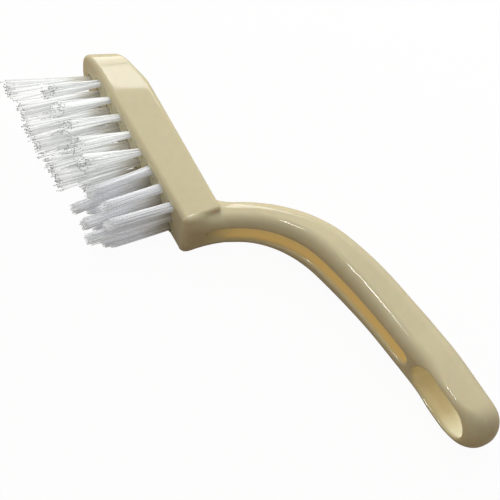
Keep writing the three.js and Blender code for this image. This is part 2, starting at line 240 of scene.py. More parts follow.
STRANDS = {
    "coarse": Strand(
        sides=6, steps=7, wall_gap=0.72, spread=(3.2, 2.2), side_lean=0.09, uneven=0.7, stray=0.026,
        bow=0.22, eased_end=1.2, end_radius=0.9, dark_rim=True, seed=11),
    "fine": Strand(
        sides=5, steps=5, wall_gap=0.35, spread=(1.15, 1.12), side_lean=0.01, uneven=0.6, stray=0.008,
        bow=0.08, eased_end=0.3, end_radius=0.75, dark_rim=False, seed=23),
}


class Nylon(NamedTuple):
    """How one kind of nylon takes light: its darkest tone, its painted glow, and what passes through its
    shadow.
    """

    darkest: float
    glow: float
    shadow_pass: float
    clear: bool


CLEAR_NYLON = Nylon(darkest=0.45, glow=0.3, shadow_pass=0.8, clear=True)
WHITE_NYLON = Nylon(darkest=0.92, glow=0.15, shadow_pass=0.65, clear=False)


class Tuft(NamedTuple):
    """One tuft: its row and column, and its place in millimetres from the heel."""

    row: int
    column: int
    x: float
    z: float

    @property
    def kind(self):
        """Which strands it has."""
        return "fine" if self.column <= FINE_COLUMNS else "coarse"

    @property
    def toe_lean(self):
        """How far it leans to the toe."""
        if self.column == NOSE_COLUMN:
            return LEAN_NOSE
        return LEAN_FINE[self.column - 1] if self.kind == "fine" else LEAN_COARSE


def heel_point():
    """Place of the heel on the bristle face in the CAD frame, read from the anchor next to it."""
    low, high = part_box("anchor_mid_1")
    middle = (low + high) / 2
    return Vector((middle.x + HEEL_TO_COLUMN * MM, high.y - ANCHOR_TOP * MM, middle.z))


HEEL = heel_point()


def tuft_places():
    """Every tuft, one over each anchor."""
    tufts = []
    for name in ANCHORS:
        low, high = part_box(name)
        _, row, column = name.split("_")
        place = ((low + high) / 2 - HEEL) / MM
        tufts.append(Tuft(ROWS[row], int(column), place.x, place.z))
    return tufts


TUFTS = tuft_places()


def srgb(red, green, blue):
    """Scene colour of a display colour given as 0 to 255."""
    parts = [c / 255 for c in (red, green, blue)]
    return tuple(c / 12.92 if c <= 0.04045 else ((c + 0.055) / 1.055) ** 2.4 for c in parts)


def length(name, description, millimetres):
    """A size property, kept in metres."""
    return FloatProperty(
        name=name, description=description, default=millimetres * MM, min=0.0, precision=5, unit="LENGTH")


def share(name, description, default):
    """A plain number property from 0 upwards."""
    return FloatProperty(name=name, description=description, default=default, min=0.0)


def watts(name, description, default):
    """The power of a lamp as a property."""
    return FloatProperty(name=name, description=description, default=default, min=0.0, unit="POWER")


def number(name, description, default):
    """A whole number property from 1 upwards."""
    return IntProperty(name=name, description=description, default=default, min=1)


def colour(name, description, default):
    """A colour property."""
    return FloatVectorProperty(
        name=name, description=description, default=default, min=0.0, max=1.0, subtype="COLOR")


class BrushBodySettings(bpy.types.PropertyGroup):
    """Sizes and colours of the moulded body."""

    head_length: length("Head length", "From toe to heel", 82)
    head_width: length("Head width", "Across the three rows of tufts", 19.5)
    head_height: length("Head height", "From bristle face to back at the heel", 13.9)
    back_rise: length("Back rise", "How much higher the back is at the toe", 1.75)
    face_edge: length("Face edge", "Radius round the bristle face", 2.1)
    back_edge: length("Back edge", "Radius round the back of the head", 1.5)
    heel_edge: length("Heel edge", "Radius of the two upright heel corners", 1.3)
    grip_width: length("Grip width", "Width of the handle where it is widest", 19.2)
    grip_back: length("Grip back", "Thickness of the grip outside its centre line", 6.3)
    grip_under: length("Grip underside", "Thickness of the grip inside its centre line", 7.6)
    neck_fillet: length("Neck fillet", "Radius where the neck leaves the sides and back of the head", 1.0)
    heel_fillet: length("Heel fillet", "Radius between the heel and the underside of the neck", 7.0)
    groove_width: length("Groove width", "Width of the cored groove", 6.4)
    groove_depth: length("Groove depth", "Depth of the cored groove", 5.0)
    groove_rim: length("Groove rim", "Radius of the groove's edge", 1.1)
    slot_length: length("Slot length", "Length of the hanging slot at the back of the handle", 24.5)
    slot_width: length("Slot width", "Width of the hanging slot at the back of the handle", 11.0)
    slot_rim: length("Slot rim", "Radius of the hanging slot's edges", 0.7)
    hole_rim: length("Hole rim", "Radius of a tuft hole's edge", 0.2)
    hole_lip: length("Hole lip", "Height of the raised lip round a tuft hole", 0.3)
    mesh_step: length("Mesh step", "Spacing of the grid that the moulding is skinned on", 0.46)
    ivory: colour("Ivory", "Colour of the plastic", srgb(224, 215, 180))
    # Painted light: the warm colour that the groove's walls turn to stands in for light through the plastic
    painted_amber_light: colour("Amber", "Colour of the plastic deep in its groove", srgb(224, 195, 128))
    # Painted glow, though no lamp, standing in for light through the plastic into the groove, the slot and
    # the slot's tail end
    painted_groove_glow: colour(
        "Groove glow", "Light that comes through the plastic into its groove", (0.16, 0.13, 0.058))
    painted_slot_glow: colour(
        "Slot glow", "Light that comes through the plastic into its hanging slot", (0.09, 0.06, 0.02))
    painted_tail_glow: colour(
        "Tail glow", "Light that comes through the plastic at the slot's tail end", (0.36, 0.36, 0.27))


class TuftSettings(bpy.types.PropertyGroup):
    """Sizes and colours of the two kinds of tuft."""

    coarse_pairs: number("Coarse strands", "Folded strands in a coarse tuft", 23)
    fine_pairs: number("Fine strands", "Folded strands in a fine tuft", 52)
    coarse_strand: length("Coarse strand", "Diameter of a coarse strand", 0.36)
    fine_strand: length("Fine strand", "Diameter of a fine strand", 0.3)
    coarse_ridge: length("Coarse ridge", "Length of the coarse strands on the middle line", 29.6)
    fine_ridge: length("Fine ridge", "Length of the fine strands on the middle line", 29.2)
    coarse_fall: share("Coarse fall", "How fast the coarse trim falls to the sides", 1.9)
    fine_fall: share("Fine fall", "How fast the fine trim falls to the sides", 1.35)
    clear: colour("Clear filament", "Colour of the coarse strands", srgb(250, 251, 251))
    white: colour("White filament", "Colour of the fine strands", srgb(249, 250, 252))
    root_shade: colour("Root shade", "Colour of a strand deep among the others", srgb(186, 174, 140))
    # Painted shade on a coarse strand's cut end
    cut_end_shade: colour("Cut end", "Colour of a coarse strand's cut end", srgb(84, 86, 92))


class StageSettings(bpy.types.PropertyGroup):
    """Camera, lamps and floor."""

    camera_place: FloatVectorProperty(
        name="Camera place", description="Where the camera stands, from the heel",
        default=(0.19131, -0.1273, 0.35549), subtype="TRANSLATION", unit="LENGTH")
    camera_turn: FloatVectorProperty(
        name="Camera turn", description="How the camera is turned",
        default=(math.radians(32.2124), math.radians(-7.079), math.radians(61.7226)), subtype="EULER")
    lens: FloatProperty(
        name="Lens", description="Focal length on a 36 mm sensor", default=91.44, min=1.0, unit="CAMERA")
    upper_pane_strength: watts("Upper pane", "Power of the window's narrow upper pane", 0.188)
    lower_pane_strength: watts("Lower pane", "Power of the window's large lower pane", 2.99)
    lamp_strength: watts("Lamp", "Power of the small overhead lamp", 0.3)
    back_strength: watts("Back lamp", "Power of the soft lamp behind the handle", 0.29)
    fill_high: share("Fill, high", "Strength of the soft light from overhead", 0.57)
    fill_low: share("Fill, low", "Strength of the soft light from low down", 0.05)
    fill_colour: colour("Fill colour", "Colour of the soft light", (1.0, 0.957, 0.865))
    floor_colour: colour("Floor", "Colour of the floor in light that it throws back", (0.4, 0.28, 0.14))


class Wire:
    """A socket of a material; sums, products and powers on it add Math nodes."""

    def __init__(self, finish, socket):
        self.finish = finish
        self.socket = socket

    def math(self, operation, first, second):
        """Adds a Math node."""
        return self.finish.node("ShaderNodeMath", {"operation": operation}, {0: first, 1: second})

    def __add__(self, other):
        return self.math("ADD", self, other)

    def __radd__(self, other):
        return self.math("ADD", other, self)

    def __sub__(self, other):
        return self.math("SUBTRACT", self, other)

    def __rsub__(self, other):
        return self.math("SUBTRACT", other, self)

    def __mul__(self, other):
        return self.math("MULTIPLY", self, other)

    def __rmul__(self, other):
        return self.math("MULTIPLY", other, self)

    def __pow__(self, other):
        return self.math("POWER", self, other)

    def __rpow__(self, other):
        return self.math("POWER", other, self)

    def held(self):
        """The value kept between 0 and 1."""
        return self.finish.node(
            "ShaderNodeMath", {"operation": "ADD", "use_clamp": True}, {0: self, 1: 0.0})


class Finish:
    """A material or world and the nodes in it."""

    def __init__(self, owner):
        owner.use_nodes = True
        self.owner = owner
        self.tree = owner.node_tree
        self.tree.nodes.clear()

    def node(self, kind, settings=None, sockets=None, out=0):
        """Adds a node, sets it, then gives its sockets their values or links; returns one output."""
        made = self.tree.nodes.new(kind)
        for key, value in (settings or {}).items():
            setattr(made, key, value)
        for key, value in (sockets or {}).items():
            if isinstance(value, Wire):
                self.tree.links.new(value.socket, made.inputs[key])
            else:
                made.inputs[key].default_value = value
        return Wire(self, made.outputs[out]) if len(made.outputs) else None

    def stored(self, name, out="Fac"):
        """What the mesh stores under a name, as a number or as another of the node's outputs."""
        return self.node("ShaderNodeAttribute", {"attribute_name": name}, None, out)

    def noise(self, scale, detail):
        """Noise that stays with the piece."""
        where = self.node("ShaderNodeTexCoord", None, None, "Object")
        return self.node("ShaderNodeTexNoise", None, {"Vector": where, "Scale": scale, "Detail": detail})

    def mix(self, factor, first, second):
        """Colour between two colours, through the Mix node's colour sockets."""
        return self.node("ShaderNodeMix", {"data_type": "RGBA"}, {0: factor, 6: first, 7: second}, 2)

    def mix_shaders(self, factor, first, second):
        """Shader between two shaders."""
        return self.node("ShaderNodeMixShader", None, {0: factor, 1: first, 2: second})

    def surface(self, shader):
        """Ends the nodes in a shader and returns the material or world."""
        painted = isinstance(self.owner, bpy.types.Material)
        kind = "ShaderNodeOutputMaterial" if painted else "ShaderNodeOutputWorld"
        self.node(kind, None, {"Surface": shader})
        return self.owner


def rgba(tint, level=1.0):
    """A colour times a level, as a socket takes it."""
    return (*(c * level for c in tint), 1.0)


def ivory_plastic(settings):
    """Glossy moulded plastic, painted warmer and given a painted glow deep in its groove and slot for light
    through the plastic, with a faint flow mottle.
    """
    finish = Finish(bpy.data.materials.new("ivory_plastic"))
    flow = finish.noise(scale=FLOW_SCALE, detail=3.0)
    peel = finish.noise(scale=PEEL_SCALE, detail=1.0)
    dull, pale = (rgba(settings.ivory, level) for level in (MOTTLE_LOW, MOTTLE_HIGH))
    mottle = (flow * 0.5 + peel * 0.5 - MOTTLE_CUT) * MOTTLE_CONTRAST
    skin = finish.mix(mottle, dull, pale)
    # Painted light: warmer colour deep in the groove
    tint = finish.mix(finish.stored("recess"), skin, rgba(settings.painted_amber_light))
    bump = finish.node(
        "ShaderNodeBump", None, {"Strength": 0.0015, "Distance": 0.0002, "Height": peel})
    shader = finish.node("ShaderNodeBsdfPrincipled", None, {
        "Base Color": tint, "Roughness": 0.02 + flow * 0.03, "Normal": bump, "IOR": 1.5,
        "Emission Color": finish.stored("glow", "Color"), "Emission Strength": 1.0,
        "Subsurface Weight": 0.25, "Subsurface Radius": (1.0, 0.55, 0.22), "Subsurface Scale": 0.004,
    })
    return finish.surface(shader)


def filament(name, tint, deep, nylon):
    """Drawn nylon: own tone per strand, painted shade at its root and a painted glow; clear strands let light
    through.
    """
    finish = Finish(bpy.data.materials.new(name))
    tone, root = finish.stored("tone"), finish.stored("root")
    # Painted shade: strands deep among the others turn to the root shade colour near their roots
    shade = finish.mix(root, finish.mix(tone, rgba(tint, nylon.darkest), rgba(tint)), rgba(deep))
    # Painted glow for light scattered among the strands, dimmer on darker strands and in the painted shade
    lit = finish.mix(tone, rgba(tint, GLOW_IN_SHADE), rgba(tint))
    glow = finish.mix(root, lit, rgba(deep, GLOW_IN_SHADE))
    shader = finish.node("ShaderNodeBsdfPrincipled", None, {
        "Base Color": shade, "Roughness": 0.2 + tone * 0.15, "IOR": 1.5,
        "Alpha": tone * 0.5 + 0.4 if nylon.clear else 1.0,
        "Emission Color": glow, "Emission Strength": nylon.glow,
    })
    through = finish.node("ShaderNodeBsdfTranslucent", None, {"Color": rgba(tint)})
    strand = finish.mix_shaders(THROUGH_STRAND, shader, through)
    shadow = finish.node("ShaderNodeLightPath", None, None, "Is Shadow Ray")
    passing = finish.node("ShaderNodeBsdfTransparent", None, {"Color": WHITE})
    return finish.surface(finish.mix_shaders(shadow * nylon.shadow_pass, strand, passing))


def cut_end_shade(name, tint):
    """Sheared end of a strand with painted shade: darker than its side and lighter on the paler strands."""
    finish = Finish(bpy.data.materials.new(name))
    tone = finish.stored("tone")
    lightest = rgba([min(1.0, c * CUT_END_LIGHTEST) for c in tint])
    shade = finish.mix(tone ** 2, rgba(tint), lightest)
    shader = finish.node(
        "ShaderNodeBsdfPrincipled", None, {"Base Color": shade, "Roughness": 0.55 - tone * 0.1})
    return finish.surface(shader)


def anchor_wire():
    """Drawn flat steel wire."""
    finish = Finish(bpy.data.materials.new("anchor_wire"))
    drawn = finish.noise(scale=DRAWN_SCALE, detail=2.0)
    tint = finish.mix(drawn, STEEL_DARK, STEEL_LIGHT)
    shader = finish.node("ShaderNodeBsdfPrincipled", None, {
        "Base Color": tint, "Roughness": 0.3 + drawn * 0.2, "Metallic": 1.0})
    return finish.surface(shader)


def seen_white(finish):
    """1 for the eye and for light through a strand, part of it for a reflection, 0 for light on a surface."""
    eye, glossy, through = (
        finish.node("ShaderNodeLightPath", None, None, f"Is {ray} Ray")
        for ray in ("Camera", "Glossy", "Transmission"))
    return (eye + through + glossy * GLOSSY_WHITE).held()


def floor_paint(tint):
    """White floor for the eye, and in part for reflections, that still takes a faint shadow."""
    finish = Finish(bpy.data.materials.new("floor_paint"))
    seen = seen_white(finish)
    matt = finish.node("ShaderNodeBsdfDiffuse", None, {"Color": finish.mix(seen, rgba(tint), FLOOR_MATT)})
    white = finish.node("ShaderNodeEmission", None, {"Color": WHITE, "Strength": 1.0})
    return finish.surface(finish.mix_shaders(seen * FLOOR_WHITE, matt, white))


def smooth(value, start, end):
    """Smooth step from 0 at start to 1 at end."""
    t = np.clip((value - start) / (end - start), 0.0, 1.0)
    return t * t * (3.0 - 2.0 * t)


def along(distance, first, *changes):
    """A size that changes along the handle; each change gives the next size and where it comes in."""
    size = last = first
    for following, span in changes:
        size = size + (following - last) * smooth(distance, *span)
        last = following
    return size


def rounded_max(first, second, radius):
    """Where two forms meet in a convex edge, rounds that edge."""
    corner = np.hypot(np.maximum(first + radius, 0.0), np.maximum(second + radius, 0.0))
    return np.minimum(np.maximum(first, second), -radius) + corner


def rounded_min(first, second, radius):
    """Joins two forms with a fillet."""
    return -rounded_max(-first, -second, radius)


def soft_ramp(value, blend):
    """0 below zero and the value itself above, eased over the blend on both sides."""
    eased = (value + blend) ** 2 / (4.0 * blend)
    return np.where(value < -blend, 0.0, np.where(value > blend, value, eased))


def round_end(z, half, past, power, reach):
    """Distance to a bar of half width `half` whose end is round in plan; `past` is 1 at its tip."""
    q = np.sqrt((z / half) ** 2 + past ** power) + TINY
    slope_across = z / (half * half * q)
    slope_along = power * past ** (power - 1.0) / (2.0 * q * reach)
    return (q - 1.0) / np.maximum(np.hypot(slope_across, slope_along), 0.5 / half)


class Moulding:
    """The body as a distance field in millimetres, negative inside."""

    def __init__(self, settings):
        self.size = {key: getattr(settings, key) / MM for key in settings.__annotations__
                     if isinstance(getattr(settings, key), float)}
        angle = math.radians(NECK_ANGLE)
        x = -ROOT_IN + NECK_STRAIGHT * math.cos(angle)
        y = ROOT_UP + NECK_STRAIGHT * math.sin(angle)
        run = NECK_STRAIGHT
        # Each arc is its centre, its radius, the angle it starts at and the length of line before it
        self.arcs = []
        for radius, degrees in BENDS:
            end = math.radians(degrees)
            self.arcs.append((x + radius * math.sin(angle), y - radius * math.cos(angle), radius, angle, run))
            x += radius * (math.sin(angle) - math.sin(end))
            y += radius * (math.cos(end) - math.cos(angle))
            run += radius * (angle - end)
            angle = end
        self.run = run
        self.tail_x = x

    def along_handle(self, x, y):
        """Distance along the handle's centre line and height over it."""
        angle = math.radians(NECK_ANGLE)
        ahead, over = x + ROOT_IN, y - ROOT_UP
        s = ahead * math.cos(angle) + over * math.sin(angle)
        v = over * math.cos(angle) - ahead * math.sin(angle)
        for centre_x, centre_y, radius, start, run in self.arcs:
            dx, dy = x - centre_x, y - centre_y
            past = s > run
            s = np.where(past, run + radius * (start - np.arctan2(-dx, dy)), s)
            v = np.where(past, np.hypot(dx, dy) - radius, v)
        return s, v

    def head(self, x, y, z):
        """The head with its round slanted toe and its sloping back."""
        size = self.size
        from_toe = x + size["head_length"]
        slant = TOE_SLANT * y / size["head_height"]
        d = np.where(from_toe < TOE_BACK_START, (from_toe - slant) / (1.0 - slant / TOE_BACK_START), from_toe)
        past = np.clip(1.0 - d / TOE_PLAN_LENGTH, 0.0, None)
        side = round_end(z, size["head_width"] / 2, past, TOE_PLAN_POWER, TOE_PLAN_LENGTH)
        side = rounded_max(side, d - size["head_length"], size["heel_edge"])
        slope = TOE_BACK_DROP / TOE_BACK_START
        back = size["head_height"] + size["back_rise"] * (1.0 - d / size["head_length"])
        back -= slope * soft_ramp(TOE_BACK_START - d, TOE_BACK_BLEND)
        top = (y - back) / math.hypot(1.0, slope)
        lift = TOE_FACE_LIFT * np.clip(1.0 - d / TOE_FACE_LIFT_LENGTH, 0.0, None) ** 2
        block = rounded_max(side, top, size["back_edge"])
        return rounded_max(block, lift - y, size["face_edge"])

    def handle(self, s, v, z, under):
        """The handle as a bar round its centre line, with a round tail."""
        size = self.size
        grip = size["grip_width"]
        width = along(s, NECK_WIDTH, (grip, WIDEN), (WAIST_WIDTH, NARROW), (TAIL_WIDTH, TAIL_WIDEN))
        back = along(s, NECK_BACK, (size["grip_back"], BACK_THICKEN), (TAIL_BACK, TAIL_THICKEN))
        flare = along(s, ROOT_FLARE, (0.0, (0.0, ROOT_FLARE_END)))
        past = np.clip(1.0 - (self.run - s) / TAIL_ROUND, 0.0, None)
        side = round_end(z, width / 2, past, TAIL_PLAN_POWER, TAIL_ROUND)
        outer = along(s, OUTER_RADIUS, (TAIL_OUTER_RADIUS, OUTER_SOFTEN))
        inner = along(s, INNER_RADIUS, (SLOT_INNER_RADIUS, INNER_SHARPEN), (TAIL_INNER_RADIUS, INNER_SOFTEN))
        bar = rounded_max(side, v - back - flare, outer)
        bar = rounded_max(bar, -v - under, inner)
        return rounded_max(bar, -s, ROOT_END_RADIUS)

    def skin(self, p):
        """The moulding before its groove, slot and holes, and the handle's own measures."""
        size = self.size
        x, y, z = p.T
        s, v = self.along_handle(x, y)
        under = along(s, NECK_UNDER, (size["grip_under"], UNDER_THICKEN), (TAIL_UNDER, TAIL_WIDEN))
        low = 1.0 - smooth(v, *HEEL_FILLET_FADE)
        fillet = size["neck_fillet"] + (size["heel_fillet"] - size["neck_fillet"]) * low
        return rounded_min(self.head(x, y, z), self.handle(s, v, z, under), fillet), s, v, under

    def groove(self, s, v, z, under):
        """The cored groove in the underside of the handle, which runs out towards the heel."""
        half = self.size["groove_width"] / 2
        middle, reach = (GROOVE_START + GROOVE_END) / 2, (GROOVE_END - GROOVE_START) / 2 - half
        plan = np.hypot(np.maximum(np.abs(s - middle) - reach, 0.0), z) - half
        depth = self.size["groove_depth"] * smooth(s, GROOVE_START - GROOVE_LEAD, GROOVE_START + GROOVE_RAMP)
        return rounded_max(plan, v + under - depth, GROOVE_FLOOR_RADIUS)

    def slot(self, x, v, z):
        """The hanging slot, which flares from the back of the handle to its underside."""
        flare = np.clip((TAIL_BACK - v) / (TAIL_BACK + TAIL_UNDER), 0.0, 1.0)
        half = self.size["slot_width"] / 2 + SLOT_FLARE_WIDTH * flare
        straight = self.size["slot_length"] / 2 + SLOT_FLARE_LENGTH * flare - half
        off = np.abs(x - self.tail_x + SLOT_FROM_TAIL)
        return np.hypot(np.maximum(off - straight, 0.0), z) - half

    def bored(self, body, x, y, z):
        """The body at points near the bristle face, with its tuft holes and the lips round them."""
        size = self.size
        hole, lip = np.full(x.shape, FAR_AWAY), np.full(x.shape, FAR_AWAY)
        for tuft in TUFTS:
            round_hole = np.hypot(x - tuft.x, z - tuft.z) - HOLE_RADIUS
            hole = np.minimum(hole, round_hole)
            lip = np.minimum(lip, np.hypot(round_hole - size["hole_lip"], y))
        hole = rounded_max(hole, y - HOLE_DEPTH, HOLE_FLOOR_RADIUS)
        lipped = rounded_min(body, lip - size["hole_lip"], size["hole_lip"])
        return rounded_max(lipped, -hole, size["hole_rim"])

    def distance(self, p):
        """Distance from points to the finished moulding."""
        x, y, z = p.T
        body, s, v, under = self.skin(p)
        body = rounded_max(body, -self.groove(s, v, z, under), self.size["groove_rim"])
        body = rounded_max(body, -self.slot(x, v, z), self.size["slot_rim"])
        near = (x < 0.0) & (y < HOLE_DEPTH + HOLE_MARGIN)
        body[near] = self.bored(body[near], x[near], y[near], z[near])
        return body

    def depth_of_recess(self, p):
        """How deep in the groove and in the slot each point lies and how near the tail, each from 0 to 1."""
        x = p[:, 0]
        skin, s, v, _ = self.skin(p)
        in_groove = (s < RECESS_SPLIT) & (v < 0.0) & (x > GROOVE_TINT_START)
        groove = smooth(-skin, *GROOVE_TINT_DEPTH)
        groove = groove * smooth(s, GROOVE_START - GROOVE_TINT_LEAD, GROOVE_START + GROOVE_RAMP)
        slot = smooth(-skin, *SLOT_TINT_DEPTH)
        tail = smooth(x, self.tail_x - SLOT_FROM_TAIL, self.tail_x - TAIL_TINT_FULL)
        return np.where(in_groove, groove, 0.0), np.where(s > RECESS_SPLIT, slot, 0.0), tail

    def slope(self, p):
        """Gradient of the distance."""
        parts = []
        for axis in range(3):
            move = np.zeros(3)
            move[axis] = SLOPE_STEP
            parts.append((self.distance(p + move) - self.distance(p - move)) / (2.0 * SLOPE_STEP))
        return np.stack(parts, 1)

    def settle(self, p):
        """Moves points onto the surface."""
        for _ in range(SETTLE_ROUNDS):
            gradient = self.slope(p)
            pull = self.distance(p) / np.maximum((gradient ** 2).sum(1), LEAST_SLOPE)
            p = p - gradient * np.clip(pull, -LONGEST_MOVE, LONGEST_MOVE)[:, None]
        return p


def skin_net(moulding, low, high, step):
    """Points and four-sided faces of the moulding's surface, one point in each grid cell that it crosses."""
    before, after = GRID_MARGIN * step, (GRID_MARGIN + 1) * step
    axes = [np.arange(a - before, b + after, step) for a, b in zip(low, high)]
    grid = np.stack(np.meshgrid(*axes, indexing="ij"), -1)
    values = np.stack([moulding.distance(sheet.reshape(-1, 3)).reshape(sheet.shape[:2]) for sheet in grid])
    cells, crossings, faces = [], [], []
    for axis in range(3):
        count = values.shape[axis]
        start = np.take(values, range(count - 1), axis)
        end = np.take(values, range(1, count), axis)
        place = np.argwhere((start < 0) != (end < 0))
        a, b = start[tuple(place.T)], end[tuple(place.T)]
        point = place.astype(float)
        point[:, axis] += a / (a - b)
        corners = []
        for du, dw in ((0, 0), (1, 0), (1, 1), (0, 1)):
            cell = place.copy()
            cell[:, (axis + 1) % 3] -= du
            cell[:, (axis + 2) % 3] -= dw
            corners.append(np.ravel_multi_index(cell.T, values.shape))
        quad = np.stack(corners, 1)
        cells.append(quad.ravel())
        crossings.append(np.repeat(point, 4, axis=0))
        faces.append(np.where((a < 0)[:, None], quad, quad[:, ::-1]))
    used, index = np.unique(np.concatenate(cells), return_inverse=True)
    crossings = np.concatenate(crossings)
    total = np.bincount(index)
    points = np.stack([np.bincount(index, crossings[:, k]) / total for k in range(3)], 1)
    origin = np.array([axis[0] for axis in axes])
    return origin + points * step, np.searchsorted(used, np.concatenate(faces))


def new_piece(name, data):
    """Links a new object for a mesh, lamp or camera."""
    piece = bpy.data.objects.new(name, data)
    bpy.context.scene.collection.objects.link(piece)
    return piece


def in_frame(points):
    """Points in millimetres from the heel, as metres in the CAD frame."""
    return points * MM + np.array(HEEL)


def keep_values(mesh, name, values):
    """Stores one number for each point of a mesh."""
    store = mesh.attributes.new(name, "FLOAT", "POINT")
    store.data.foreach_set("value", np.asarray(values, np.float32))


def keep_colours(mesh, name, values):
    """Stores one colour for each point of a mesh."""
    whole = np.concatenate([values, np.ones((len(values), 1))], 1)
    store = mesh.attributes.new(name, "FLOAT_COLOR", "POINT")
    store.data.foreach_set("color", whole.astype(np.float32).ravel())


class FISHBRUSH_OT_body(bpy.types.Operator):
    """Moulded head, neck and handle with its groove, hanging slot and tuft holes"""

    bl_idname = "fishbrush.body"
    bl_label = "Moulded Body"

    def execute(self, context):
        settings = context.scene.fish_brush_body
        moulding = Moulding(settings)
        low, high = (np.array(corner - HEEL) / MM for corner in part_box("brush_body"))
        points, faces = skin_net(moulding, low, high, settings.mesh_step / MM)
        if not len(faces):
            raise RuntimeError("the moulding has no surface")
        points = moulding.settle(points)
        normal = moulding.slope(points)
        normal /= np.maximum(np.linalg.norm(normal, axis=1), TINY)[:, None]
        mesh = bpy.data.meshes.new("moulded_body")
        mesh.from_pydata(in_frame(points), [], faces)
        groove, slot, tail = moulding.depth_of_recess(points)
        # Painted glow: dim in the groove and slot, bright at the slot's tail end
        glow = np.outer(groove, settings.painted_groove_glow)
        glow += np.outer(slot * (1.0 - tail), settings.painted_slot_glow)
        glow += np.outer(slot * tail, settings.painted_tail_glow)
        # How deep in the groove each point lies, which sets its painted light
        keep_values(mesh, "recess", groove)
        keep_colours(mesh, "glow", glow)
        mesh.shade_smooth()
        mesh.normals_split_custom_set_from_vertices(normal)
        mesh.materials.append(ivory_plastic(settings))
        piece = new_piece("moulded_body", mesh)
        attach(piece, BODY)
        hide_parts("brush_body")
        return {"FINISHED"}


def tuft_pairs(count, reach, gap):
    """Places of the strands on one side of a tuft's anchor; each has a partner on the other side."""
    places = []
    index = 0
    while len(places) < count:
        index += 1
        turn = index * GOLDEN_TURN
        away = reach * math.sqrt((index - 0.5) / (2.0 * count))
        x, z = away * math.cos(turn), away * math.sin(turn)
        if z > 0.0:
            places.append((x, max(z, gap)))
        if index > MOST_TRIES * count:
            raise RuntimeError("the strands don't fit their hole")
    return places


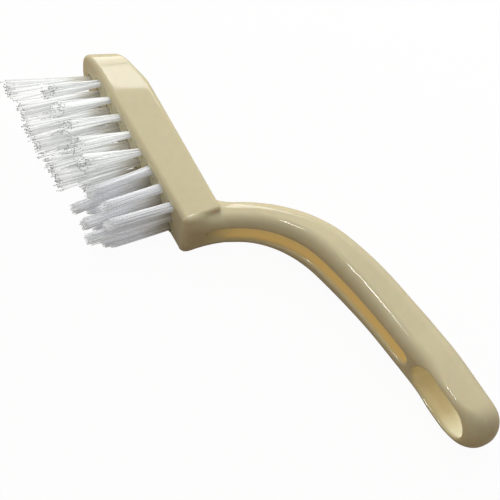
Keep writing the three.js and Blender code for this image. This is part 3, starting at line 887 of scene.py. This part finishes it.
class Tufts:
    """Folded strands of one kind, gathered as one mesh."""

    def __init__(self, kind, settings):
        self.strand = STRANDS[kind]
        self.draw = np.random.default_rng(self.strand.seed)
        self.ridge = getattr(settings, f"{kind}_ridge") / MM
        self.radius = getattr(settings, f"{kind}_strand") / MM / 2
        self.fall = getattr(settings, f"{kind}_fall")
        self.pairs = getattr(settings, f"{kind}_pairs")
        self.points, self.faces, self.tones, self.roots, self.ends = [], [], [], [], []

    def free_part(self, tuft, longer, x, z):
        """Path of a strand from just inside its hole to its cut end; x and z are its place in the tuft."""
        strand = self.strand
        cut = np.clip(self.draw.normal(0.0, strand.uneven), *CUT_LIMITS)
        stray = self.draw.normal(0.0, strand.stray, 2)
        bow = self.draw.normal(0.0, strand.bow, 2)
        run = self.ridge - self.fall * abs(tuft.z + z) + longer + cut
        lean = stray + (-tuft.toe_lean, strand.side_lean * tuft.row)
        widen = (np.array(strand.spread) - 1.0) * run / self.ridge
        t = np.linspace(0.0, 1.0, strand.steps)[:, None]
        aside = np.array((x, z)) * (1.0 + widen * t ** SWELL_POWER)
        aside = aside + lean * run * t + bow * (4.0 * t * (1.0 - t))
        out = ROOT_SUNK - (run + ROOT_SUNK) * t
        return np.concatenate([tuft.x + aside[:, :1], out, tuft.z + aside[:, 1:]], 1)

    def fold(self, tuft, x, z):
        """Path of a strand inside its hole, over the anchor from one side to the other."""
        close = ANCHOR_HALF + self.radius + FOLD_GAP
        leg = (
            (FOLD_START, max(z * FOLD_SQUEEZE, close)), (FOLD_SIDE, close),
            (FOLD_SHOULDER, close * FOLD_SHOULDER_WIDTH),
        )
        arch = [*leg, (FOLD_TOP, 0.0), *((height, -off) for height, off in reversed(leg))]
        return [(tuft.x + x * FOLD_SQUEEZE, height, tuft.z + off) for height, off in arch]

    def add_strand(self, path, hidden):
        """Sweeps a round section along a path and closes both ends with a slightly eased cut."""
        strand, sides = self.strand, self.strand.sides
        heading = np.gradient(path, axis=0)
        heading /= np.linalg.norm(heading, axis=1)[:, None]
        first = np.array([1.0, 0.0, 0.0]) - heading * heading[:, :1]
        first /= np.linalg.norm(first, axis=1)[:, None]
        second = np.cross(heading, first)
        ease = self.radius * strand.eased_end
        path = np.concatenate([path[:1] - heading[:1] * ease, path, path[-1:] + heading[-1:] * ease])
        first, second = (np.concatenate([way[:1], way, way[-1:]]) for way in (first, second))
        count = len(path)
        radius = np.full(count, self.radius)
        radius[[0, -1]] *= strand.end_radius
        turn = np.arange(sides) * (2.0 * math.pi / sides)
        ring = first[:, None] * np.cos(turn)[None, :, None] + second[:, None] * np.sin(turn)[None, :, None]
        base = sum(len(p) for p in self.points)
        self.points.append((path[:, None] + ring * radius[:, None, None]).reshape(-1, 3))
        for i in range(count - 1):
            if strand.dark_rim and i in (0, count - 2):
                self.ends.extend(range(len(self.faces), len(self.faces) + sides))
            for j in range(sides):
                a, b = base + i * sides + j, base + i * sides + (j + 1) % sides
                self.faces.append((a, b, b + sides, a + sides))
        self.ends.extend((len(self.faces), len(self.faces) + 1))
        last = base + (count - 1) * sides
        self.faces.append(tuple(range(base + sides - 1, base - 1, -1)))
        self.faces.append(tuple(range(last, last + sides)))
        self.tones.append(np.full(count * sides, self.draw.random()))
        # Painted shade on each leg, fading out along the strand from its root
        legs = np.where(np.arange(count) < count // 2, *hidden)
        self.roots.append(np.repeat(legs * (1.0 - smooth(-path[:, 1], 0.0, ROOT_SHADE)), sides))

    def fill(self, tuft):
        """All strands of one tuft."""
        reach = HOLE_RADIUS - self.radius - self.strand.wall_gap
        row_shade = ROW_SHADE[tuft.row]
        longer = self.draw.uniform(-TUFT_UNEVEN, TUFT_UNEVEN)
        for x, z in tuft_pairs(self.pairs, reach, ANCHOR_HALF + self.radius):
            out, back = (self.free_part(tuft, longer, x, side) for side in (z, -z))
            # Painted shade for each row, darker on a strand's lower leg
            depths = [LEG_SHADE * (0.5 - side / reach / 2.0) for side in (z, -z)]
            hidden = [row_shade + (1.0 - row_shade) * depth for depth in depths]
            self.add_strand(np.concatenate([out[::-1], self.fold(tuft, x, z), back]), hidden)

    def mesh(self, name, materials):
        """The gathered strands, with the second material on their cut ends."""
        made = bpy.data.meshes.new(name)
        made.from_pydata(in_frame(np.concatenate(self.points)), [], self.faces)
        keep_values(made, "tone", np.concatenate(self.tones))
        keep_values(made, "root", np.concatenate(self.roots))
        for material in materials:
            made.materials.append(material)
        made.shade_smooth()
        for face in self.ends:
            made.polygons[face].material_index = 1
            made.polygons[face].use_smooth = False
        return made


def grow_tufts(settings, kind, name, materials):
    """One object with all the tufts of a kind."""
    gathered = Tufts(kind, settings)
    for tuft in TUFTS:
        if tuft.kind == kind:
            gathered.fill(tuft)
    if not gathered.faces:
        raise RuntimeError("no tuft of this kind was found in the frame")
    piece = new_piece(name, gathered.mesh(name, materials))
    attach(piece, BODY)
    return piece


class FISHBRUSH_OT_coarse_tufts(bpy.types.Operator):
    """Stiff clear strands of the five toe columns and the nose tuft, folded over their anchors"""

    bl_idname = "fishbrush.coarse_tufts"
    bl_label = "Coarse Tufts"

    def execute(self, context):
        settings = context.scene.fish_brush_tufts
        strand = filament("clear_filament", settings.clear, settings.root_shade, CLEAR_NYLON)
        end = cut_end_shade("clear_cut_end", settings.cut_end_shade)
        piece = grow_tufts(settings, "coarse", "coarse_tufts", [strand, end])
        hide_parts("coarse_bristle_field")
        return {"FINISHED"}


class FISHBRUSH_OT_fine_tufts(bpy.types.Operator):
    """Soft white strands of the three heel columns, folded over their anchors"""

    bl_idname = "fishbrush.fine_tufts"
    bl_label = "Fine Tufts"

    def execute(self, context):
        settings = context.scene.fish_brush_tufts
        strand = filament("white_filament", settings.white, settings.root_shade, WHITE_NYLON)
        end = cut_end_shade("white_cut_end", [c * WHITE_CUT_END for c in settings.white])
        piece = grow_tufts(settings, "fine", "fine_tufts", [strand, end])
        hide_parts("fine_bristle_field")
        return {"FINISHED"}


class FISHBRUSH_OT_anchors(bpy.types.Operator):
    """Steel finish on the wire anchors that hold the tufts"""

    bl_idname = "fishbrush.anchors"
    bl_label = "Wire Anchors"

    def execute(self, context):
        if not ANCHORS:
            raise RuntimeError("no anchor was found in the frame")
        steel = anchor_wire()
        for name in ANCHORS:
            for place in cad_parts[name].material_slots:
                place.link = "OBJECT"
                place.material = steel
        return {"FINISHED"}


def area_lamp(name, size, power, place, target):
    """A rectangular lamp at a place, turned to a target, both measured from the heel."""
    light = bpy.data.lights.new(name, "AREA")
    light.shape = "RECTANGLE"
    light.size, light.size_y = size
    light.energy = power
    lamp = new_piece(name, light)
    lamp.location = HEEL + Vector(place)
    lamp.rotation_euler = (Vector(target) - Vector(place)).to_track_quat("-Z", "Y").to_euler()
    return lamp


def stand_camera(scene, settings):
    """Camera above and beyond the tail, on the bristle side, that looks down on the brush."""
    camera = bpy.data.cameras.new("camera")
    camera.lens = settings.lens
    camera.sensor_width = SENSOR_WIDTH_MM
    camera.clip_end = VIEW_REACH
    view = new_piece("camera", camera)
    view.location = HEEL + Vector(settings.camera_place)
    view.rotation_euler = settings.camera_turn
    scene.camera = view


def hang_lamps(settings):
    """A window of two panes beyond the toe, a small lamp overhead and a soft one behind the handle."""
    area_lamp("upper_pane", UPPER_PANE_SIZE, settings.upper_pane_strength, UPPER_PANE_PLACE, TOE_SIDE)
    area_lamp("lower_pane", LOWER_PANE_SIZE, settings.lower_pane_strength, LOWER_PANE_PLACE, TOE_SIDE)
    area_lamp("ceiling_lamp", LAMP_SIZE, settings.lamp_strength, LAMP_PLACE, HANDLE_SIDE)
    back = area_lamp("back_lamp", BACK_SIZE, settings.back_strength, BACK_PLACE, HANDLE_SIDE)
    back.visible_glossy = False


def light_sky(scene, settings):
    """Soft fill light that is strongest from one side overhead, in a background that is seen as white."""
    sky = Finish(scene.world or bpy.data.worlds.new("studio"))
    scene.world = sky.owner
    way = sky.node("ShaderNodeTexCoord", None, None, "Generated")
    toward = sky.node("ShaderNodeVectorMath", {"operation": "DOT_PRODUCT"}, {0: way, 1: FILL_SIDE}, "Value")
    tint = rgba(settings.fill_colour)
    low, high = (
        sky.node("ShaderNodeBackground", None, {"Color": tint, "Strength": strength})
        for strength in (settings.fill_low, settings.fill_high))
    soft = sky.mix_shaders((toward * 0.5 + 0.5) ** FILL_FOCUS, low, high)
    white = sky.node("ShaderNodeBackground", None, {"Color": WHITE, "Strength": 1.0})
    sky.surface(sky.mix_shaders(seen_white(sky), soft, white))


def lay_floor(settings):
    """Wide flat floor just under the brush."""
    floor = bpy.data.meshes.new("floor")
    corners = ((-1, -1), (1, -1), (1, 1), (-1, 1))
    floor.from_pydata(
        [(x * FLOOR_REACH, y * FLOOR_REACH, -FLOOR_DROP) for x, y in corners], [], [(0, 1, 2, 3)])
    floor.materials.append(floor_paint(settings.floor_colour))
    new_piece("floor", floor)


class FISHBRUSH_OT_stage(bpy.types.Operator):
    """Camera, window panes, lamps, fill light and floor"""

    bl_idname = "fishbrush.stage"
    bl_label = "Studio"

    def execute(self, context):
        scene = context.scene
        settings = scene.fish_brush_stage
        stand_camera(scene, settings)
        hang_lamps(settings)
        light_sky(scene, settings)
        lay_floor(settings)
        scene.view_settings.view_transform = "Standard"
        return {"FINISHED"}


OPERATORS = (
    FISHBRUSH_OT_stage,
    FISHBRUSH_OT_body,
    FISHBRUSH_OT_coarse_tufts,
    FISHBRUSH_OT_fine_tufts,
    FISHBRUSH_OT_anchors,
)

SETTINGS = {
    "fish_brush_body": BrushBodySettings,
    "fish_brush_tufts": TuftSettings,
    "fish_brush_stage": StageSettings,
}


class VIEW3D_PT_fish_brush(bpy.types.Panel):
    """Sizes and build steps of the brush"""

    bl_idname = "VIEW3D_PT_fish_brush"
    bl_label = "Fish Cleaning Brush"
    bl_space_type = "VIEW_3D"
    bl_region_type = "UI"
    bl_category = "Brush"

    def draw(self, context):
        for operator in OPERATORS:
            self.layout.operator(operator.bl_idname)
        for group in SETTINGS:
            box = self.layout.box()
            owner = getattr(context.scene, group)
            for key in owner.__annotations__:
                box.prop(owner, key)


CLASSES = (*SETTINGS.values(), *OPERATORS, VIEW3D_PT_fish_brush)


def register():
    """Makes the classes known to Blender and hangs their settings on the scene."""
    for made in CLASSES:
        bpy.utils.register_class(made)
    for name, group in SETTINGS.items():
        setattr(bpy.types.Scene, name, PointerProperty(type=group))


def unregister():
    """Takes the settings and classes out again."""
    for name in SETTINGS:
        delattr(bpy.types.Scene, name)
    for made in reversed(CLASSES):
        bpy.utils.unregister_class(made)


def main():
    """Builds the whole scene."""
    register()
    bpy.ops.fishbrush.stage()
    bpy.ops.fishbrush.body()
    bpy.ops.fishbrush.coarse_tufts()
    bpy.ops.fishbrush.fine_tufts()
    bpy.ops.fishbrush.anchors()


if __name__ == "__main__":
    main()
